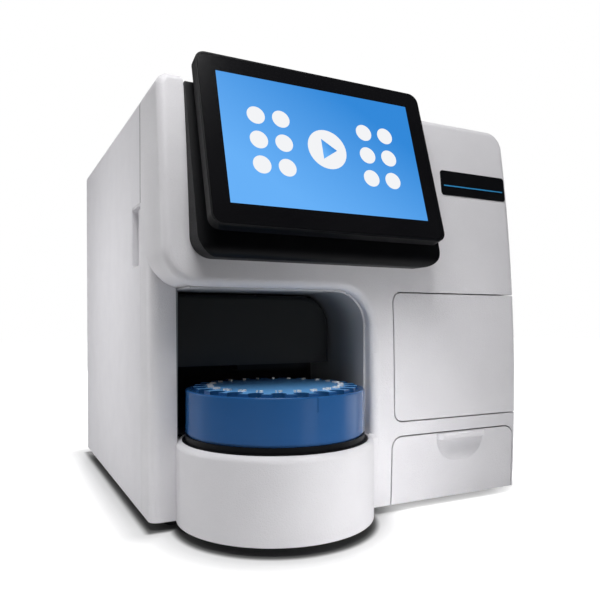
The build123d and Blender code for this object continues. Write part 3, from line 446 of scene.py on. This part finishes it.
def sheet_mesh(name, outlines, thickness):
    """Thin closed plates, one for each outline, standing on the plane z = 0."""
    mesh = bpy.data.meshes.new(name)
    shape = bmesh.new()
    for outline in outlines:
        face = shape.faces.new([shape.verts.new((x, y, 0)) for x, y in outline])
        raised = bmesh.ops.extrude_face_region(shape, geom=[face])
        moved = [v for v in raised["geom"] if isinstance(v, bmesh.types.BMVert)]
        bmesh.ops.translate(shape, verts=moved, vec=(0, 0, thickness))
    bmesh.ops.recalc_face_normals(shape, faces=shape.faces)
    shape.to_mesh(mesh)
    shape.free()
    return mesh


def screen_frame():
    """The place of the picture's lower left corner on the glass, with its own axes."""
    low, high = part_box("monitor_glass")
    left = (low.x + high.x - picture_width) / 2
    up = Vector((0, sin(screen_tilt), cos(screen_tilt)))
    out = Vector((0, -cos(screen_tilt), sin(screen_tilt)))
    corner = Vector((left, low.y, low.z + glass_thickness * sin(screen_tilt))) + up * picture_lift
    across = Vector((1, 0, 0))
    axes = Matrix((across, up, out)).transposed().to_4x4()
    return Matrix.Translation(corner + out * print_proud) @ axes


def screen_layer(name, outlines, level, low, high):
    """Flat shapes of the picture, one print layer above another."""
    mesh = sheet_mesh(name, outlines, print_proud)
    mesh.transform(screen_frame() @ Matrix.Translation((0, 0, level * print_proud)))
    piece(name, mesh, glowing(name, low, high), "housing")


def screen_picture():
    """A plain start page: a blue ground, one large round key and two groups of small ones."""
    ground = rounded_outline(picture_width, picture_height, print_proud)
    screen_layer("screen_ground", [ground], 0, picture_blue_left, picture_blue_right)
    middle_x = picture_width / 2
    middle_y = picture_height / 2
    keys = [disc(main_key, middle_x, middle_y)]
    for side in (-1, 1):
        for column in range(key_columns):
            for row in key_rows:
                x = middle_x + side * (key_start + column * key_pitch)
                keys.append(disc(side_key, x, middle_y + row * key_pitch))
    screen_layer("screen_keys", keys, 1, picture_white, picture_white)
    back = middle_x - triangle / 2
    tip = (middle_x + triangle, middle_y)
    start_mark = [(back, middle_y - triangle), tip, (back, middle_y + triangle)]
    screen_layer("screen_start_mark", [start_mark], 2, picture_blue_left, picture_blue_right)


def crown(z):
    """Y of the crowned front face at a height."""
    return crown_front + crown_radius - sqrt(crown_radius ** 2 - (z - crown_height) ** 2)


def name_plate(black, blue):
    """A bare black plate with one blue line, on the crowned face beside the screen."""
    width = plate_right - plate_left
    height = plate_high - plate_low
    across = Vector((1, 0, 0))
    up = Vector((0, crown(plate_high) - crown(plate_low), height)).normalized()
    out = across.cross(up)
    corner = Vector((plate_left, crown(plate_low), plate_low)) - out * plate_sink
    place = Matrix.Translation(corner) @ Matrix((across, up, out)).transposed().to_4x4()
    plate = sheet_mesh("name_plate", [rounded_outline(width, height, plate_corner)], plate_thickness)
    plate.transform(place)
    piece("name_plate", plate, black, "housing")
    line = rounded_outline(width - 2 * stripe_inset, stripe_height, stripe_corner)
    stripe = sheet_mesh("plate_stripe", [shifted(line, stripe_inset, stripe_rise)], print_proud)
    stripe.transform(place @ Matrix.Translation((0, 0, plate_thickness)))
    piece("plate_stripe", stripe, blue, "housing")


def number_letters(number):
    """The mesh of one raised number, flat on its back."""
    text = bpy.data.curves.new("number", "FONT")
    text.body = str(number)
    text.size = number_height
    text.extrude = number_rise / 2
    text.resolution_u = number_steps
    text.align_x = "CENTER"
    text.align_y = "CENTER"
    holder = bpy.data.objects.new("number", text)
    letters = bpy.data.meshes.new_from_object(holder)
    bpy.data.objects.remove(holder)
    return letters


def carousel_numbers(ink):
    """Raised white numbers inside the ring of pockets, readable from outside."""
    low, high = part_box("carousel")
    centre = (low + high) / 2
    height = high.z + number_rise / 2 - print_proud
    shape = bmesh.new()
    for index in range(number_count):
        angle = first_pocket + 2 * pi * index / number_count
        x = centre.x + number_circle * cos(angle)
        y = centre.y + number_circle * sin(angle)
        letters = number_letters(index + 1)
        letters.transform(Matrix.Translation((x, y, height)) @ Matrix.Rotation(angle + pi / 2, 4, "Z"))
        shape.from_mesh(letters)
    mesh = bpy.data.meshes.new("carousel_numbers")
    shape.to_mesh(mesh)
    shape.free()
    piece("carousel_numbers", mesh, ink, "carousel_body")


def outside_distance(tree, place):
    """Distance on the floor from the body's footprint and from the drum's, whichever is less."""
    corner = cad_box[1]
    middle = (0, (corner.y + foot_front) / 2, 0)
    half = (corner.x, (corner.y - foot_front) / 2, 0)
    offset = vector_step(tree, "ABSOLUTE", vector_step(tree, "SUBTRACT", place, middle))
    beyond = vector_step(tree, "MAXIMUM", vector_step(tree, "SUBTRACT", offset, half), (0, 0, 0))
    from_body = vector_step(tree, "LENGTH", beyond)
    from_axis = vector_step(tree, "LENGTH", vector_step(tree, "SUBTRACT", place, drum_middle))
    from_drum = math_step(tree, "SUBTRACT", from_axis, drum_radius)
    return math_step(tree, "MINIMUM", from_drum, from_body)


def studio_floor():
    """A white floor with a painted contact shadow and a painted soft halo of shade round the object, where
    the lamps' own shadow stays, and plain white further out.
    """
    bpy.ops.mesh.primitive_plane_add(size=floor_size, location=(0, 0, 0))
    floor = bpy.context.object
    floor.name = "floor"
    material, tree, bsdf = shader("floor_white")
    bsdf.inputs["Roughness"].default_value = floor_roughness
    bsdf.inputs["Emission Color"].default_value = white
    distance = outside_distance(tree, object_place(tree))
    # Painted contact shadow: the floor's colour darkens to a dark grey at the footprint's edge
    grey = map_range(tree, distance, (0, painted_contact_shadow_reach), (painted_contact_shadow_grey, floor_grey), "SMOOTHSTEP")
    # Painted soft halo of shade: the glow seen by the eye fades to nothing towards the footprint
    glow = map_range(tree, distance, (0, painted_halo_reach), (0, floor_glow), "SMOOTHSTEP")
    path = tree.nodes.new("ShaderNodeLightPath")
    seen = math_step(tree, "MULTIPLY", glow, path.outputs["Is Camera Ray"])
    tree.links.new(grey, bsdf.inputs["Base Color"])
    tree.links.new(seen, bsdf.inputs["Emission Strength"])
    floor.data.materials.append(material)


def studio_world():
    """A white background for the eye and a weak cool light from all round."""
    world = bpy.data.worlds.new("studio")
    scene.world = world
    world.use_nodes = True
    tree = world.node_tree
    shown = tree.nodes.new("ShaderNodeBackground")
    shown.inputs["Color"].default_value = white
    lighting = tree.nodes["Background"]
    lighting.inputs["Color"].default_value = sky_colour
    lighting.inputs["Strength"].default_value = sky_strength
    path = tree.nodes.new("ShaderNodeLightPath")
    mix = tree.nodes.new("ShaderNodeMixShader")
    tree.links.new(path.outputs["Is Camera Ray"], mix.inputs["Fac"])
    tree.links.new(lighting.outputs["Background"], mix.inputs[1])
    tree.links.new(shown.outputs["Background"], mix.inputs[2])
    tree.links.new(mix.outputs["Shader"], tree.nodes["World Output"].inputs["Surface"])


def soft_box(name, place, aim, size, power, spread=full_spread):
    """A rectangular area light that faces a point; surfaces mirror it only where its spread is full."""
    light = bpy.data.lights.new(name, "AREA")
    light.shape = "RECTANGLE"
    light.size, light.size_y = size
    light.energy = power
    light.spread = radians(spread)
    lamp = bpy.data.objects.new(name, light)
    lamp.location = place
    lamp.visible_camera = False
    lamp.visible_glossy = spread == full_spread
    lamp.rotation_euler = (Vector(aim) - Vector(place)).to_track_quat("-Z", "Y").to_euler()
    scene.collection.objects.link(lamp)


def studio_lights():
    """Soft boxes round the object."""
    for name, values in soft_boxes.items():
        soft_box(name, **values)


def photo_camera():
    """The camera at the photograph's viewing angle."""
    data = bpy.data.cameras.new("camera")
    data.sensor_width = camera_sensor
    data.lens = camera_lens
    data.shift_y = camera_rise
    camera = bpy.data.objects.new("camera", data)
    camera.location = camera_place
    camera.rotation_euler = (radians(90 - camera_pitch), 0, radians(-camera_yaw))
    scene.collection.objects.link(camera)
    scene.camera = camera


looks = finishes()
dress_nodes(looks)
screen_picture()
name_plate(looks["black_plastic"], looks["stripe_blue"])
carousel_numbers(looks["number_white"])
studio_floor()
studio_world()
studio_lights()
photo_camera()
scene.view_settings.view_transform = "Standard"
